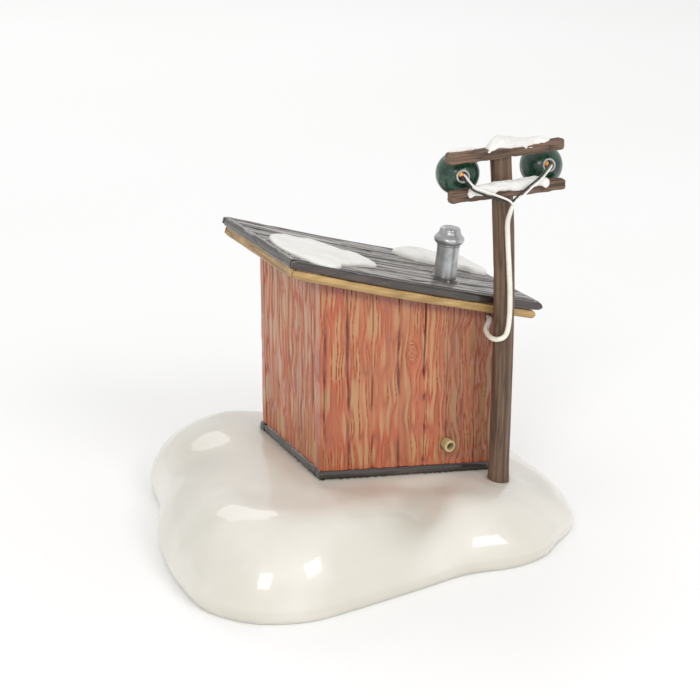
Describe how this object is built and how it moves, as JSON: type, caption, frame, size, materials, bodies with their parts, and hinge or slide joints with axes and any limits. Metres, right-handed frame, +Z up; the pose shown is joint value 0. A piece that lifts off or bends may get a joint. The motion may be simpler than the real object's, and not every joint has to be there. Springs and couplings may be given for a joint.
{
  "type": "ice fishing hut miniature",
  "caption": "Glazed miniature ice fishing hut: board walls, snowy shed roof and stovepipe on a snow mound, with a lamp post whose lead runs into the back wall.",
  "frame": {"origin": "centre of the snow base's underside, which is the bottom centre of the whole object", "axes": "+Z up; +X toward the low wall and the low eave; the back wall with the lamp post faces -Y; the door faces +Y"},
  "size_m": [0.129, 0.12, 0.121],
  "materials": {
    "snow_glaze": "warm off-white, clear glossy glaze",
    "dark_trim": "dark brown, glossy",
    "wall_boards": "terracotta orange wiped over tan carved boards, glossy",
    "door_boards": "brown planks, glossy",
    "pane": "translucent amber sheet",
    "roof_boards": "weathered grey over brown grain, glossy",
    "tan_trim": "tan, glossy",
    "roof_snow": "white, satin glaze",
    "silver_paint": "silver paint, glossy",
    "post_wood": "brown resin carved as wood, semi-matt",
    "arm_snow": "white resin snow, matt",
    "green_enamel": "dark green, glossy",
    "amber_bulb": "translucent amber",
    "grommet": "pale ring",
    "wire_sheath": "white sheath, with the second core of each pair black",
    "lead_sheath": "white sheath, satin",
    "bushing": "tan plastic"
  },
  "bodies": {
    "root": {"snow_base": "snow_glaze", "back_sill": "dark_trim", "front_sill": "dark_trim", "high_sill": "dark_trim", "low_sill": "dark_trim", "back_wall": "wall_boards", "front_wall": "wall_boards", "high_wall": "wall_boards", "low_wall": "wall_boards", "door_leaf": "door_boards", "door_frame": "dark_trim", "window_frame": "dark_trim", "window_pane": "pane", "roof_board_1": "roof_boards", "roof_board_2": "roof_boards", "roof_board_3": "roof_boards", "roof_board_4": "roof_boards", "roof_board_5": "roof_boards", "back_verge_trim": "dark_trim", "front_verge_trim": "dark_trim", "low_eave_trim": "dark_trim", "high_eave_trim": "dark_trim", "back_rake_board": "tan_trim", "front_rake_board": "tan_trim", "low_eave_board": "tan_trim", "high_eave_board": "tan_trim", "high_roof_snow": "roof_snow", "low_roof_snow": "roof_snow", "stovepipe": "silver_paint", "stovepipe_collar": "dark_trim", "stovepipe_cap": "silver_paint", "lamp_post": "post_wood", "upper_crossarm": "post_wood", "lower_crossarm": "post_wood", "upper_arm_snow": "arm_snow", "lower_arm_snow": "arm_snow", "left_lamp_shade": "green_enamel", "right_lamp_shade": "green_enamel", "left_lamp_bulb": "amber_bulb", "right_lamp_bulb": "amber_bulb", "left_lamp_grommet": "grommet", "right_lamp_grommet": "grommet", "lamp_wires": "wire_sheath", "down_lead": "lead_sheath", "inlet_bushing": "bushing"}
  },
  "joints": []
}
